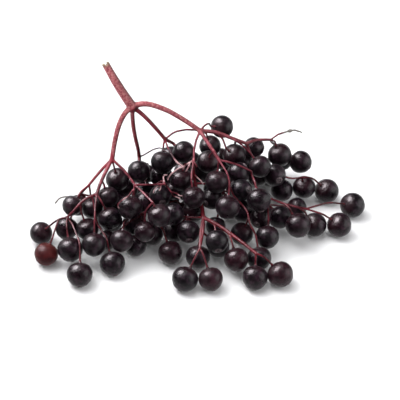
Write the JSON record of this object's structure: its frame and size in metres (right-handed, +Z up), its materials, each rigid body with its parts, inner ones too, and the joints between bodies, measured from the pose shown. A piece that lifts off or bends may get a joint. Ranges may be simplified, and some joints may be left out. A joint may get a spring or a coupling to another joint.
{
  "type": "elderberry cluster",
  "caption": "Cluster of ripe black elderberries on thin branching red stems, lying down, with the cut end of its stalk in the air.",
  "frame": {"origin": "on the surface that the cluster lies on, under the middle of its bounding box", "axes": "+X along the cluster's length, from its unripe berry's side to the other; +Y across it, towards the side the stalk rises from; +Z up"},
  "size_m": [0.0822, 0.0466, 0.0425],
  "materials": {
    "stem": "satin",
    "berry": "satin",
    "sprig": "satin",
    "unripe_berry": "satin"
  },
  "bodies": {
    "root": {"stalk": "stem", "left_berry_1": "berry", "left_berry_2": "unripe_berry", "left_berry_3": "berry", "left_berry_4": "berry", "left_berry_5": "berry", "left_berry_6": "berry", "left_berry_7": "berry", "left_berry_8": "berry", "left_berry_9": "berry", "left_berry_10": "berry", "left_berry_11": "berry", "left_berry_12": "berry", "left_berry_13": "berry", "left_berry_14": "berry", "left_berry_15": "berry", "left_berry_16": "berry", "left_berry_17": "berry", "top_berry_1": "berry", "top_berry_2": "berry", "top_berry_3": "berry", "top_berry_4": "berry", "top_berry_5": "berry", "top_berry_6": "berry", "top_berry_7": "berry", "top_berry_8": "berry", "top_berry_9": "berry", "top_berry_10": "berry", "top_berry_11": "berry", "top_berry_12": "berry", "top_berry_13": "berry", "right_berry_1": "berry", "right_berry_2": "berry", "right_berry_3": "berry", "right_berry_4": "berry", "right_berry_5": "berry", "right_berry_6": "berry", "right_berry_7": "berry", "right_berry_8": "berry", "front_berry_1": "berry", "front_berry_2": "berry", "front_berry_3": "berry", "front_berry_4": "berry", "front_berry_5": "berry", "front_berry_6": "berry", "front_berry_7": "berry", "front_berry_8": "berry", "front_berry_9": "berry", "front_berry_10": "berry", "sprig_1": "sprig", "sprig_2": "sprig", "sprig_3": "sprig", "sprig_4": "sprig", "sprig_5": "sprig", "sprig_6": "sprig", "sprig_7": "sprig", "sprig_8": "sprig", "sprig_9": "sprig", "sprig_10": "sprig", "sprig_11": "sprig"}
  },
  "joints": []
}
